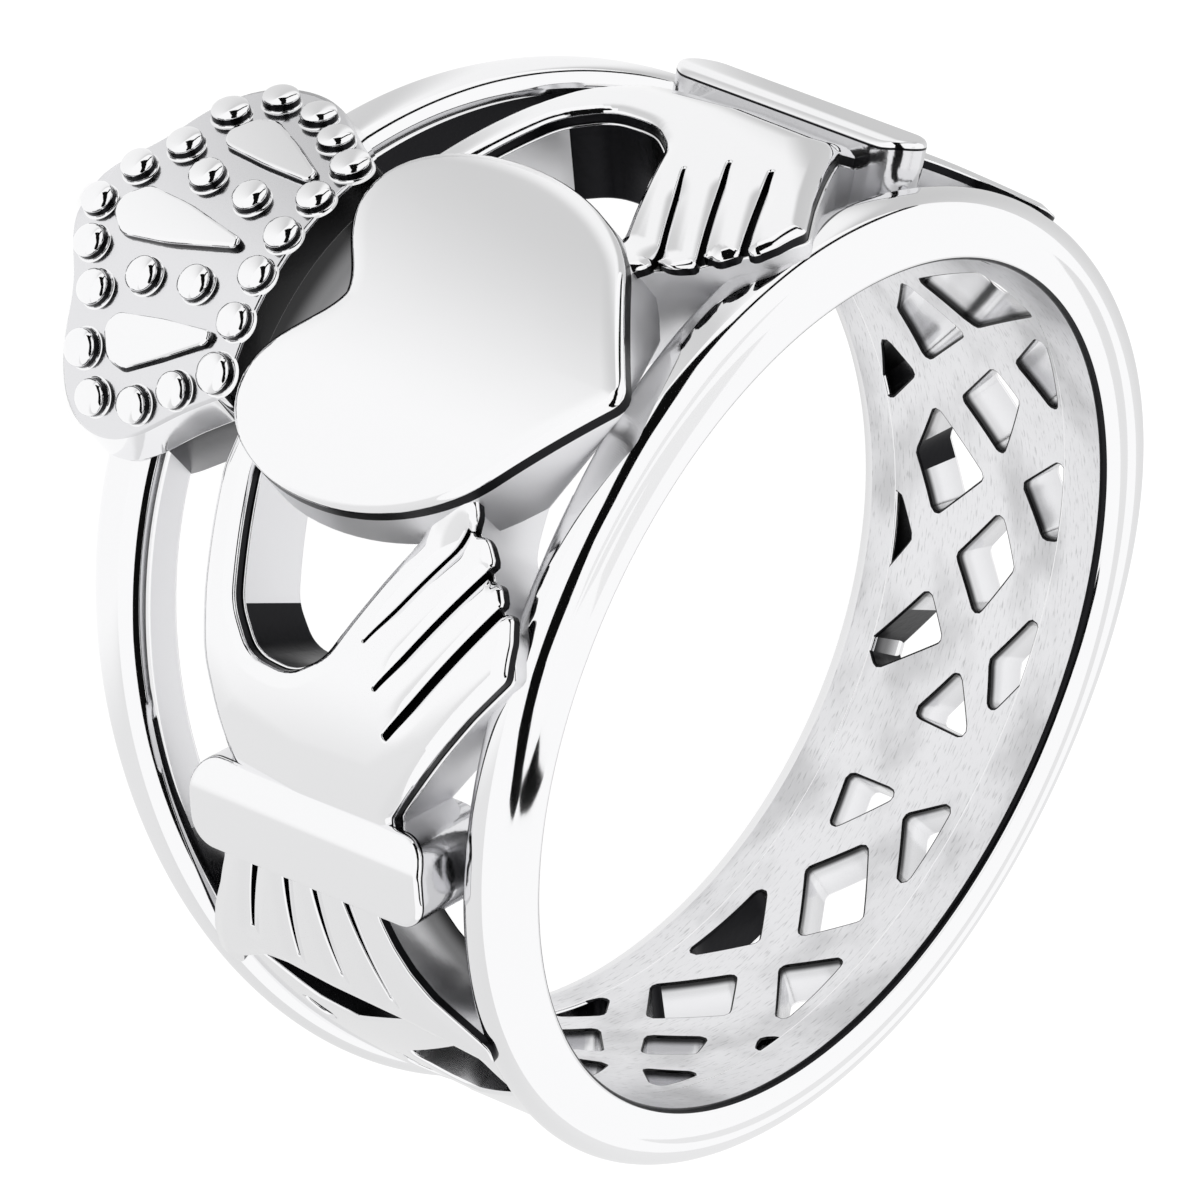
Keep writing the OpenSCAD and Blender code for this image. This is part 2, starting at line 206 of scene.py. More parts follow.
class RingSizes(bpy.types.PropertyGroup):
    """Sizes of the ring, in metres."""

    rail_r: size("Rail radius", 0.010887, "From the finger hole's middle to the rails' outside")
    tube_r: size("Rail rounding", 0.000573, "Rounding of the rails' outer edges")
    band_r: size("Lattice radius", 0.0106, "Outside of the pierced band")
    heart_r: size("Heart radius", 0.0125, "From the finger hole's middle to the heart's face")
    heart_back: size("Heart back", 0.01045, "Distance of the heart's flat back from the middle")
    crown_r: size("Crown face", 0.0125, "Distance of the crown's face from the middle")
    hand_r: size("Hand radius", 0.0116, "From the finger hole's middle to the backs of the hands")
    groove: size("Groove depth", 0.00036, "Depth of the grooves between the fingers")
    cuff_r: size("Cuff radius", 0.01165, "From the finger hole's middle to the cuffs")
    sleeve_r: size("Sleeve radius", 0.01115, "From the finger hole's middle to the ribbed sleeves")


class RingColours(bpy.types.PropertyGroup):
    """Colours of the ring's finishes and of the floor."""

    steel: colour_of("Steel", "#F3F3F4", "Reflected colour of the polished steel")
    hole: colour_of("Finger hole", "#E8E8EA", "Reflected colour of the brushed finger hole")
    field: colour_of("Crown field", "#E0E0E2", "Reflected colour of the crown's satin field")
    wall: colour_of("Side walls", "#D4D4D6", "Reflected colour of the walls left as they were cast")
    # The colour of the painted shade: black for grooves, recesses and dark lines along walls and edges
    painted_shade_black: colour_of("Recesses", "#222224", "Reflected colour of the blackened grooves and hollows")
    floor: colour_of("Floor", "#8A8A8A", "Colour of the pale floor")


def mm(name):
    """A size of the ring in millimetres."""
    return getattr(bpy.context.scene.ring_sizes, name) * 1000


def row_frame(points):
    """Millimetres in the finger hole's frame to metres where the ring lies, and none below the floor."""
    out = np.array(HOLE["pos_m"]) + points @ AXES / 1000
    out[:, 2] = np.maximum(out[:, 2], 0.0)
    return out


def turned(directions):
    """Directions in the finger hole's frame to directions where the ring lies."""
    return directions @ AXES


def unit(v):
    """Each row divided by its length."""
    return v / np.maximum(np.linalg.norm(v, axis=-1, keepdims=True), 1e-12)


def make_piece(name, points, quads, normals, finishes, finish_of=None):
    """Puts arrays of points, quads and normals into a mesh, as one piece of the ring."""
    mesh = bpy.data.meshes.new(name)
    quads = np.ascontiguousarray(quads, dtype=np.int32)
    mesh.vertices.add(len(points))
    mesh.vertices.foreach_set("co", row_frame(points).astype(np.float32).ravel())
    mesh.loops.add(quads.size)
    mesh.loops.foreach_set("vertex_index", quads.ravel())
    mesh.polygons.add(len(quads))
    mesh.polygons.foreach_set("loop_start", np.arange(0, quads.size, 4, dtype=np.int32))
    mesh.polygons.foreach_set("use_smooth", np.ones(len(quads), dtype=bool))
    for finish in finishes:
        mesh.materials.append(bpy.data.materials[finish])
    if finish_of is not None:
        mesh.polygons.foreach_set("material_index", finish_of.astype(np.int32))
    mesh.update(calc_edges=True)
    mesh.normals_split_custom_set_from_vertices(turned(unit(normals)).tolist())
    piece = bpy.data.objects.new(name, mesh)
    bpy.context.scene.collection.objects.link(piece)
    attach(piece, "root")
    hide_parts("ring")


def faces_of(index):
    """Quads between neighbours in a table of point numbers, taken along its last two axes."""
    a, b = index[..., :-1, :], index[..., 1:, :]
    return np.stack([a[..., :-1], a[..., 1:], b[..., 1:], b[..., :-1]], axis=-1).reshape(-1, 4)


def rounded(corners, steps=6):
    """A closed outline from rows of (x, y, radius): each corner is a circular arc of its radius, or of
    the largest one that its sides leave room for. The arc is the rational quadratic curve between the
    two tangent points, with the corner as its middle control and the sine of half the corner's angle
    as its weight."""
    rows = np.array(corners, dtype=float)
    p, radius = rows[:, :2], rows[:, 2]
    back, ahead = np.roll(p, 1, axis=0) - p, np.roll(p, -1, axis=0) - p
    room = 0.48 * np.minimum(np.linalg.norm(back, axis=1), np.linalg.norm(ahead, axis=1))
    back, ahead = unit(back), unit(ahead)
    half = np.arccos(np.clip((back * ahead).sum(axis=1), -1, 1)) / 2
    reach = np.minimum(radius / np.maximum(np.tan(half), 1e-6), room)[:, None]
    start, end = p + back * reach, p + ahead * reach
    t = np.linspace(0, 1, steps)[None, :, None]
    weight = np.sin(half)[:, None, None]
    a, b, c = (1 - t) ** 2, 2 * weight * t * (1 - t), t ** 2
    curve = (a * start[:, None] + b * p[:, None] + c * end[:, None]) / (a + b + c)
    return curve.reshape(-1, 2)


def depth_inside(points, loop):
    """How far each point lies inside a closed outline, negative outside, and the unit direction that
    leads out of it. The distance is the shortest to any side. A point is inside where a line from it
    towards +x crosses the outline an odd number of times."""
    a, b = loop, np.roll(loop, -1, axis=0)
    side = b - a
    long2 = np.maximum((side ** 2).sum(axis=1), 1e-12)
    depth, out = np.empty(len(points)), np.empty((len(points), 2))
    for first in range(0, len(points), 8192):
        p = points[first:first + 8192, None]
        t = np.clip(((p - a) * side).sum(axis=2) / long2, 0, 1)
        foot = a + t[..., None] * side
        gap2 = ((p - foot) ** 2).sum(axis=2)
        near = gap2.argmin(axis=1)
        rows = np.arange(len(near))
        gap = np.sqrt(gap2[rows, near])
        up = (a[:, 1] > p[..., 1]) != (b[:, 1] > p[..., 1])
        rise = np.where(np.abs(side[:, 1]) < 1e-12, 1e-12, side[:, 1])
        crossing = up & (p[..., 0] < a[:, 0] + side[:, 0] * (p[..., 1] - a[:, 1]) / rise)
        sign = np.where(crossing.sum(axis=1) % 2 == 1, 1.0, -1.0)
        depth[first:first + 8192] = gap * sign
        way = foot[rows, near] - points[first:first + 8192]
        out[first:first + 8192] = way * sign[:, None] / np.maximum(gap, 1e-9)[:, None]
    return depth, out


def within(loop, wider=0.0):
    """A region bounded by one outline, or by a line that runs a little wider than it all round."""
    def inside(p):
        depth, out = depth_inside(p, loop)
        return depth + wider, out
    return inside


def depth_at(region, p):
    """How far inside a region the places of a grid lie, whatever the grid's shape."""
    return region(p.reshape(-1, 2))[0].reshape(p.shape[:-1])


def level(height):
    """The same height all over a slab."""
    return lambda p: height + 0 * p[..., 0]


def cut_out(region, loops):
    """A region less the insides of some outlines. The distance is the lesser of the region's own and of
    the gap to each outline, which is only looked for nearby."""
    def cut(p):
        depth, out = region(p)
        for loop in loops:
            low, high = loop.min(axis=0) - 0.7, loop.max(axis=0) + 0.7
            near = np.nonzero(((p > low) & (p < high)).all(axis=1))[0]
            if len(near):
                gap, way = depth_inside(p[near], loop)
                closer = -gap < depth[near]
                depth[near[closer]] = -gap[closer]
                out[near[closer]] = -way[closer]
        return depth, out
    return cut


def bezier(controls, last=1.0, steps=14):
    """Points along a Bezier curve of any number of controls, up to the share last of its run."""
    c = np.array(controls, dtype=float)
    t = np.linspace(0, last, steps)
    n = len(c) - 1
    weights = np.stack([math.comb(n, k) * t ** k * (1 - t) ** (n - k) for k in range(n + 1)], axis=-1)
    return weights @ c


def grid_over(loop, step):
    """A square grid of points that covers an outline with a little to spare."""
    low, high = loop.min(axis=0) - 2.1 * step, loop.max(axis=0) + 2.1 * step
    u = np.arange(low[0], high[0] + step, step)
    v = np.arange(low[1], high[1] + step, step)
    return np.stack(np.meshgrid(u, v, indexing="ij"), axis=-1)


def round_chart(radius):
    """A sheet rolled about the hole: u is the arc at the given radius, v the height along the hole, and
    h the distance from the hole's middle."""
    def place(p, h):
        a = p[..., 0] / radius
        return np.stack([h * np.sin(a), -h * np.cos(a), p[..., 1] + 0 * h], axis=-1)
    return place


def flat_chart(angle=0.0):
    """A flat sheet that faces straight out at an angle: u runs sideways, v along the hole, h outwards."""
    c, s = math.cos(math.radians(angle)), math.sin(math.radians(angle))

    def place(p, h):
        x, y = p[..., 0], -h
        return np.stack([x * c - y * s, x * s + y * c, p[..., 1] + 0 * h], axis=-1)
    return place


def slopes(place, height, p):
    """Unit normals of the surface place(p, height(p)), from central differences."""
    du, dv = np.array([NUDGE, 0.0]), np.array([0.0, NUDGE])
    a = place(p + du, height(p + du)) - place(p - du, height(p - du))
    b = place(p + dv, height(p + dv)) - place(p - dv, height(p - dv))
    return unit(np.cross(a, b))


def plate(name, grid, region, place, over, under, finishes, edge=0.12, low_edge=0.06, turns=5, band=0.0,
          paint=None, draft=None):
    """A closed slab. Its top and bottom are the parts of a grid that lie inside a region, drawn at the
    heights over(p) and under(p). The grid's points nearest to the region's border move onto it, one
    edge radius inside. From there a quarter circle of that radius turns into the wall, which ends in a
    smaller quarter circle at the bottom. The finishes are those of the top, the bottom, the wall, the
    band of the given height at the wall's top, and the rounded edge; without the last two, the band is
    as the wall and the edge as the top. Wherever paint(places, ways out) gives a number but 0, the wall
    has the finish of that number. A draft moves the slab's lower places on the sheet."""
    draft = draft or (lambda p: p)
    nu, nv = grid.shape[:2]
    flat = grid.reshape(-1, 2).copy()
    depth, out = region(flat)
    step = np.linalg.norm(grid[1, 0] - grid[0, 0])
    deep = (depth > edge + 0.2 * step).reshape(nu, nv)
    kept = deep[:-1, :-1] | deep[1:, :-1] | deep[1:, 1:] | deep[:-1, 1:]
    used = np.zeros((nu, nv), dtype=bool)
    whole = np.ones((nu, nv), dtype=bool)
    for i, j in ((0, 0), (1, 0), (1, 1), (0, 1)):
        used[i:nu - 1 + i, j:nv - 1 + j] |= kept
        whole[i:nu - 1 + i, j:nv - 1 + j] &= kept
    whole[[0, -1], :] = False
    whole[:, [0, -1]] = False
    rim = (used & ~whole).ravel()
    for _ in range(4):
        flat[rim] += out[rim] * (depth[rim] - edge)[:, None]
        depth[rim], out[rim] = region(flat[rim])
    index = np.full(nu * nv, -1)
    index[used.ravel()] = np.arange(used.sum())
    index = index.reshape(nu, nv)
    ids = [index[i:nu - 1 + i, j:nv - 1 + j] for i, j in ((0, 0), (1, 0), (1, 1), (0, 1))]
    quads = np.stack([corner[kept] for corner in ids], axis=-1)
    p = flat[used.ravel()]
    lead = out[used.ravel()]
    # Directed border edges, with the slab on their left
    solid = np.pad(kept, 1)
    beyond = [solid[1:-1, :-2], solid[2:, 1:-1], solid[1:-1, 2:], solid[:-2, 1:-1]]
    border = np.concatenate([
        np.stack([ids[k][kept & ~beyond[k]], ids[(k + 1) % 4][kept & ~beyond[k]]], axis=-1)
        for k in range(4)
    ])
    at, local = np.unique(border, return_inverse=True)
    local = local.reshape(border.shape)
    q, w = p[at], lead[at]
    # Upwards and outwards directions at the rim, in space. The outward ones are evened out along the
    # border, each with its two neighbours, eight times over
    top = over(q)
    up = unit(place(q, top) - place(q, top - 1.0))
    side = unit(place(q + w * NUDGE, top) - place(q, top))
    ahead, behind = np.arange(len(at)), np.arange(len(at))
    ahead[local[:, 0]] = local[:, 1]
    behind[local[:, 1]] = local[:, 0]
    for _ in range(8):
        side = unit(2 * side + side[ahead] + side[behind])
    top_n, low_n = slopes(place, over, p), -slopes(place, under, p)
    points, normals = [place(p, over(p))], [top_n]
    for k in range(1, turns + 1):
        a = math.pi / 2 * k / turns
        points.append(place(q + w * edge * math.sin(a), top - edge * (1 - math.cos(a))))
        normals.append(unit(math.cos(a) * top_n[at] + math.sin(a) * side))
    foot = q + w * edge
    bottom = np.minimum(under(foot) + low_edge, top - edge)
    if band:
        points.append(place(foot, np.maximum(top - edge - band, bottom)))
        normals.append(side)
    points.append(place(draft(foot), bottom))
    normals.append(side)
    for k in (1, 2, 3):
        a = math.pi / 6 * k
        spot = draft(q + w * (edge - low_edge * (1 - math.cos(a))))
        points.append(place(spot, under(spot) + low_edge * (1 - math.sin(a))))
        normals.append(unit(math.cos(a) * side - math.sin(a) * up))
    points.append(place(draft(p), under(p)))
    normals.append(low_n)
    rows = turns + (5 if band else 4)
    start = [at] + [len(p) + k * len(at) + np.arange(len(at)) for k in range(rows)]
    low = len(p) + rows * len(at)
    start.append(low + at)
    strips = [
        np.stack([start[k][local[:, 1]], start[k][local[:, 0]],
                  start[k + 1][local[:, 0]], start[k + 1][local[:, 1]]], axis=-1)
        for k in range(rows + 1)
    ]
    faces = np.concatenate([quads, quads[:, ::-1] + low] + strips)
    rim_finish, band_finish = 4 * (len(finishes) > 4), 3 if len(finishes) > 3 else 2
    of_rows = [rim_finish] * turns + [band_finish] * (rows - turns - 4) + [2] * 4 + [1]
    finish_of = np.repeat([0, 1] + of_rows, [len(quads)] * 2 + [len(border)] * (rows + 1))
    if paint is not None:
        walls = finish_of[2 * len(quads):].reshape(rows + 1, -1)[turns:-1]
        marks = paint(q, w)[local[:, 0]]
        walls[:, marks > 0] = marks[marks > 0]
    make_piece(name, np.concatenate(points), faces, np.concatenate(normals), finishes, finish_of)


def polar(rows, radius, side=1):
    """Rows of (angle, share of the hole's radius, corner radius) as a rounded outline on a round sheet;
    side -1 gives its mirror image."""
    flat = [(side * math.radians(a) * radius, s * HOLE_R, r) for a, s, r in rows]
    return rounded(flat[::side])


def segment_gap(p, rows):
    """For each point and each row of (x0, y0, x1, y1): the distance to the row's line and the share of
    the way along it, from 0 to 1."""
    rows = np.array(rows)
    a, d = rows[:, :2], rows[:, 2:4] - rows[:, :2]
    t = ((p[..., None, :] - a) * d).sum(axis=-1) / (d ** 2).sum(axis=-1)
    held = np.clip(t, 0, 1)
    gap = np.linalg.norm(p[..., None, :] - a - held[..., None] * d, axis=-1)
    return gap, held


def eased(t):
    """The smooth step 3t^2 - 2t^3 of a value held between 0 and 1."""
    t = np.clip(t, 0, 1)
    return t * t * (3 - 2 * t)


def slots(rows, radius, side):
    """Outlines of narrow slots: four corners each, across a line from the row's first place to its
    second, at the row's widths."""
    loops = []
    for a0, z0, a1, z1, wide, narrow, past in rows:
        tip = np.array([side * math.radians(a0) * radius, z0 * HOLE_R])
        end = np.array([side * math.radians(a1) * radius, z1 * HOLE_R])
        along = unit(tip - end)
        across = np.array([-along[1], along[0]]) / 2
        tip = tip + along * past
        corners = np.array([end - across * narrow, tip - across * wide, tip + across * wide,
                            end + across * narrow])
        loops.append(rounded(np.column_stack([corners, [0.05] * 4])[::-1]))
    return loops


def rail_edge_upper(a):
    """Height of the upper rail's edge at an angle: 4.84 plus 1.77 times the cosine."""
    return 4.84 + 1.77 * np.cos(a)


def rail_edge_lower(a):
    """Depth of the lower rail's edge at an angle, a sum of cosines that widens towards the heart."""
    return 4.8365 + 1.978 * np.cos(a) + 0.488 * np.cos(2 * a) - 0.012 * (1 - np.cos(a)) ** 2


def apart(a, middle):
    """How many degrees the angles a, in radians, lie from a middle one, in degrees."""
    return np.abs((np.degrees(a) - middle + 180) % 360 - 180)


def bulge(a, middle, height, power):
    """The cosine of the angle from a middle one, in degrees, held above zero, to a power and times a
    height."""
    return height * np.maximum(np.cos(a - math.radians(middle)), 0) ** power


def rail(name, edge_at, side, mouth, thick, swell_out):
    """One rail: a profile carried round the hole. The profile is the hole's wall, a rounded mouth, a
    slightly domed end face, a half round outer edge and a flat inner side, left as cast, with painted
    shade that darkens it towards the hole. At each angle it hangs from edge_at(angle), is thick(angle)
    deep and stands swell_out(angle) further out than elsewhere. Side is 1 for the upper rail, whose
    mouth has a painted dark line of shade round it, and -1 for the lower one, whose inner side is
    painted black as shade towards the left hand and sanded towards the right one."""
    # The end face's dome and the inner side's rounding at the hole in mm, and where the outer edge
    # begins, as a share of its half turn
    dome, foot, meet = 0.104, 0.08, 0.04
    tube = mm("tube_r")
    mid_r, mid_d = mm("rail_r") - tube, tube + dome
    quarter = math.pi / 2 * np.linspace(0, 1, 7)
    half = math.pi * np.linspace(meet, 1, 25)
    face_r = np.linspace(HOLE_R + mouth, mid_r + tube * math.sin(meet * math.pi), 10)[1:-1]
    face_t = (face_r - face_r[0]) / (face_r[-1] - face_r[0])
    # The profile's points, as distances from the hole's middle and depths below the rail's edge
    r = np.concatenate([
        np.full(4, HOLE_R), HOLE_R + mouth * (1 - np.cos(quarter)), face_r,
        mid_r + tube * np.sin(half), np.linspace(mid_r, HOLE_R + foot, 5)[1:-1],
        HOLE_R + foot * (1 - np.sin(quarter)),
    ])
    d = np.concatenate([
        np.linspace(1.0, mouth, 5)[:-1], mouth * (1 - np.sin(quarter)), dome * face_t ** 2,
        mid_d - tube * np.cos(half), np.full(3, mid_d + tube),
        mid_d + tube - foot * (1 - np.cos(quarter)),
    ])
    a = np.linspace(0, 2 * math.pi, 721)[:-1]
    swell = thick(a)[:, None] - (mid_d + tube)
    deep = d[None] + swell * eased((d[None] - 0.5) / 0.75)
    z = side * (edge_at(a)[:, None] - deep)
    rr = r + swell_out(a)[:, None] * np.maximum((r - mid_r) / tube + 0.2, 0)
    points = np.stack([rr * np.sin(a)[:, None], -rr * np.cos(a)[:, None], z], axis=-1)
    wide = np.concatenate([points[:, -1:], points, points[:, :1]], axis=1)
    long = np.concatenate([points[-1:], points, points[:1]], axis=0)
    normals = unit(np.cross(long[2:] - long[:-2], wide[:, 2:] - wide[:, :-2])) * -side
    quads = faces_of(np.pad(np.arange(z.size).reshape(z.shape), (0, 1), mode="wrap"))
    if side < 0:
        quads = quads[:, ::-1]
    # Places in the profile's row of faces: the mouth's inner part, which gets a painted dark line of shade
    # on the upper rail, and the flat inner side, as cast with painted shade
    painted_dark_line, inner_side = slice(4, 8), slice(43, 47)
    along = ((r < HOLE_R + 1e-6) & (np.roll(r, -1) < HOLE_R + 1e-6)).astype(int)
    if side > 0:
        along[painted_dark_line] = 2
    along[inner_side] = 3
    finish_of = np.tile(along, (len(a), 1))
    if side < 0:
        # Painted shade: the lower rail's inner side is painted black towards the left hand, and sanded
        # towards the right one
        finish_of[apart(a, 320) < 34.9, inner_side] = 2
        finish_of[apart(a, 27.9) < 38, inner_side] = 4
    make_piece(name, points.reshape(-1, 3), quads, normals.reshape(-1, 3),
               ["polished_steel", "brushed_steel", "painted_shade_steel", "cast_steel_painted_shade", "sanded_steel"],
               finish_of.reshape(-1))


class RingPiece:
    """What the operators that build pieces have in common."""

    bl_options = {"REGISTER", "UNDO"}


class RING_OT_finishes(RingPiece, bpy.types.Operator):
    """Make the ring's finishes"""

    bl_idname = "ring.finishes"
    bl_label = "Finishes"

    def execute(self, context):
        colours = context.scene.ring_colours
        polished_steel(colours.steel)
        brushed_steel(colours.hole)
        # The crown's field, rubbed satin: softer reflections and a grain of 0.11 mm
        grained_metal("satin_steel", colours.field, 0.13, 9000.0, 0.25)
        # Walls as cast: grey, with painted shade that makes them nearly black where they meet the hole
        painted_shade_metal("cast_steel_painted_shade", colours.wall, 0.22,
                     [(9.55, 0.04), (9.9, 0.25), (10.4, 0.85), (11.2, 1.0)])
        # The lattice's openings: bright, with painted shade that leaves a thin black line where they meet
        # the hole
        painted_shade_metal("window_steel_painted_shade", colours.hole, 0.2,
                     [(9.5, 0.02), (9.6, 0.05), (9.75, 0.85), (10.0, 1.0), (10.55, 0.9)])
        # The hollow under the crown, in painted shade: black at the top, greyer in its depths
        painted_shade_metal("hollow_steel_painted_shade", colours.wall, 0.2,
                     [(9.6, 0.5), (10.3, 0.3), (10.9, 0.05), (12.5, 0.02)])
        # Painted shade in grooves and recesses, and painted dark lines along walls and edges: dark, dull,
        # with a grain of 0.14 mm
        grained_metal("painted_shade_steel", colours.painted_shade_black, 0.3, 7000.0, 0.4)
        # Sides cleaned with fine grit: an even, soft grey, with a grain of 0.17 mm
        grained_metal("sanded_steel", colours.hole, 0.42, 6000.0, 0.2)
        return {"FINISHED"}


class RING_OT_rails(RingPiece, bpy.types.Operator):
    """Build the two rails that run round the ring"""

    bl_idname = "ring.rails"
    bl_label = "Rails"

    def execute(self, context):
        rail("upper_rail", rail_edge_upper, 1, 0.16, lambda a: 1.25 + bulge(a, 335, 0.45, 5),
             lambda a: bulge(a, 238, 0.3, 8))
        rail("lower_rail", rail_edge_lower, -1, 0.45, lambda a: 1.2 + bulge(a, 0, 0.45, 1.5),
             lambda a: 0 * a)
        return {"FINISHED"}


class RING_OT_lattice(RingPiece, bpy.types.Operator):
    """Build the pierced band between the rails"""

    bl_idname = "ring.lattice"
    bl_label = "Lattice"

    def execute(self, context):
        far_side = [[(360 - a, s) for a, s in row[::-1]] for row in SIDE_WINDOWS]
        loops = []
        for row in WINDOWS + SIDE_WINDOWS + far_side:
            turn, share = np.array(row, dtype=float).T
            turn = np.radians(turn)
            top = rail_edge_upper(turn)
            low = -(4.3 + np.where(np.cos(turn) > 0, 2.8, 1.1) * np.cos(turn))
            z = (top + low) / 2 + share * (top - low) / 2
            corners = np.stack([turn * HOLE_R, z], axis=-1)
            # Each opening is drawn 0.06 mm larger at its corners than listed, and rounded there by 0.14 mm
            corners += 0.06 * unit(corners - corners.mean(axis=0))
            loops.append(rounded(np.column_stack([corners, np.full(len(z), 0.14)])))
        ends = np.radians([53.0, 307.0]) * HOLE_R

        def band(p):
            # The least distance to the two ends and to the rails' edges, square to each one's slope
            a = p[:, 0] / HOLE_R
            rise = [(edge(a + 0.001) - edge(a - 0.001)) / (0.002 * HOLE_R)
                    for edge in (rail_edge_upper, rail_edge_lower)]
            one = np.ones_like(a)
            ways = np.array([[-one, 0 * a], [one, 0 * a], [-rise[0], one], [-rise[1], -one]])
            long = np.linalg.norm(ways, axis=1)
            gaps = np.stack([
                p[:, 0] - ends[0], ends[1] - p[:, 0],
                rail_edge_upper(a) - UNDER_RAIL - p[:, 1], p[:, 1] + rail_edge_lower(a) - UNDER_RAIL,
            ]) / long
            return gaps.min(axis=0), (ways / long[:, None])[gaps.argmin(axis=0), :, np.arange(len(a))]

        def painted_shade_windows(q, w):
            # Painted shade: black low down, and beside the right hand and sleeve
            deep = q[:, 1] < -1.75 - 0.27 * np.cos(q[:, 0] / HOLE_R)
            return 3 * (deep | (q[:, 0] < math.radians(96) * HOLE_R))

        step = 0.125
        u = np.arange(ends[0] - 0.3, ends[1] + 0.3 + step, step)
        v = np.arange(-5.6, 5.8, step)
        grid = np.stack(np.meshgrid(u, v, indexing="ij"), axis=-1)
        # The openings' walls carry painted shade: black at the hole, and black all over low down and
        # beside the right hand
        plate("lattice", grid, cut_out(band, loops), round_chart(HOLE_R),
              level(mm("band_r")), level(HOLE_R + 0.004),
              ["polished_steel", "brushed_steel", "window_steel_painted_shade", "painted_shade_steel"],
              edge=0.08, low_edge=0.05, turns=4, paint=painted_shade_windows)
        return {"FINISHED"}


class RING_OT_heart(RingPiece, bpy.types.Operator):
    """Build the plain, softly pillowed heart"""

    bl_idname = "ring.heart"
    bl_label = "Heart"

    def execute(self, context):
        notch, low, wide = np.array([0, -1.38]), np.array([2.38, -2.7]), np.array([4.25, 0.3])
        corner, point = np.array([2.75, 4.4]), np.array([0, 6.66])
        slant = unit(point - corner)
        # Half the outline: Bezier curves from the notch round the lobe and up the flank to the corner,
        # which is rounded, and a straight side to the rounded point. Then its mirror image
        flank = bezier([wide, wide + [0, 1.7], corner + [0.85, -0.9], corner], 0.9)
        half = np.concatenate([
            bezier([notch, notch + [0.7, -0.15], low - [1.1, 0], low])[:-1],
            bezier([low, low + [1.2, 0], wide - [0, 1.7], wide])[:-1],
            flank,
            bezier([flank[-1], corner, corner + slant * 0.3], 1, 7)[1:],
            bezier([point - slant * 0.35, point, point - slant * [-0.35, 0.35]], 0.5, 5),
        ])
        loop = np.concatenate([half, half[-2:0:-1] * [-1, 1]])
        r_face = mm("heart_r")

        # The face is a stretch of a cylinder about the hole, which falls by squares near its edge
        def over(p):
            depth = depth_at(within(loop), p)
            fall = 0.10 * np.maximum(1 - depth / 0.45, 0) ** 2 + 0.03 * np.maximum(1 - depth / 2, 0) ** 2
            return np.sqrt(r_face ** 2 - p[..., 0] ** 2) - fall

        # Lower down, the point slopes in
        def drafted(p):
            return np.stack([p[..., 0], p[..., 1] - 0.85 * np.maximum(p[..., 1] - 4.9, 0)], axis=-1)

        # The heart's wall is sanded, with a band at its top painted black as shade; its flat back is as
        # cast with painted shade
        plate("heart", grid_over(loop, 0.09), within(loop), flat_chart(), over, level(mm("heart_back")),
              ["polished_steel", "cast_steel_painted_shade", "sanded_steel", "painted_shade_steel"],
              edge=0.16, low_edge=0.06, turns=7, band=0.26, draft=drafted)
        return {"FINISHED"}


def crown_face(x):
    """Distance of the crown's face from the middle: a shallow parabola across the crown."""
    return mm("crown_r") - CROWN_CURVE * x ** 2


def leaning(points):
    """Places on the upright crown turned by its lean about the crown's middle."""
    c, s = math.cos(math.radians(CROWN_LEAN)), math.sin(math.radians(CROWN_LEAN))
    x, z = points[:, 0], points[:, 1] - CROWN_MIDDLE
    return np.stack([x * c - z * s, x * s + z * c + CROWN_MIDDLE], axis=-1)


def mirrored(rows):
    """Rows of x, z and radius on the crown's other side."""
    return [(-x, z, r) for x, z, r in rows]


def crown_outline(rows):
    """A rounded outline on the leaning crown, turned round where its signed area is negative."""
    loop = leaning(rounded(rows))
    x, z = loop.T
    area = (x * np.roll(z, -1) - np.roll(x, -1) * z).sum()
    return loop[::-1] if area < 0 else loop


class RING_OT_crown(RingPiece, bpy.types.Operator):
    """Build the crown with its beads and raised panels"""

    bl_idname = "ring.crown"
    bl_label = "Crown"

    def execute(self, context):
        loop = crown_outline(CROWN_EDGE[::-1] + mirrored(CROWN_EDGE[1:-1]))
        c, s = HOLE["axis"][2], HOLE["axis"][1]
        lift = HOLE["pos_m"][2] * 1000

        def over(p):
            return crown_face(p[..., 0])

        # Down to the hole's wall, or to the plane that the ring lies on where that comes first
        def foot(p):
            hole = np.sqrt(HOLE_R ** 2 - p[..., 0] ** 2) + 0.006
            sole = (-lift - p[..., 1] * c) / s
            return np.minimum(np.maximum(hole, sole), over(p) - 0.95)

        # The crown's walls that face the heart are painted with the shade of the hollow under the crown,
        # its underside is painted black as shade, and the foot below it is in painted shade
        plate("crown", grid_over(loop, 0.08), within(loop), flat_chart(), over,
              lambda p: np.maximum(foot(p), over(p) - 0.9),
              ["satin_steel", "painted_shade_steel", "polished_steel", "hollow_steel_painted_shade"],
              edge=0.1, low_edge=0.06, paint=lambda q, w: 3 * (w[:, 1] > 0.6))
        plate("crown_foot", grid_over(loop, 0.12), within(loop, -0.45), flat_chart(),
              lambda p: over(p) - 0.85, foot, ["hollow_steel_painted_shade", "brushed_steel", "hollow_steel_painted_shade"],
              edge=0.02, low_edge=0.04, turns=2)
        # The panels' walls are painted black as shade
        for name, row in (("middle_panel", MIDDLE_PANEL), ("right_panel", SIDE_PANEL),
                          ("left_panel", mirrored(SIDE_PANEL))):
            edge = crown_outline(row)
            plate(name, grid_over(edge, 0.05), within(edge), flat_chart(), lambda p: over(p) + 0.2,
                  lambda p: over(p) - 0.2, ["polished_steel", "polished_steel", "painted_shade_steel"],
                  edge=0.09, low_edge=0.02, turns=5)
        beads(np.array(BEADS + mirrored(BEADS[1:])))
        return {"FINISHED"}


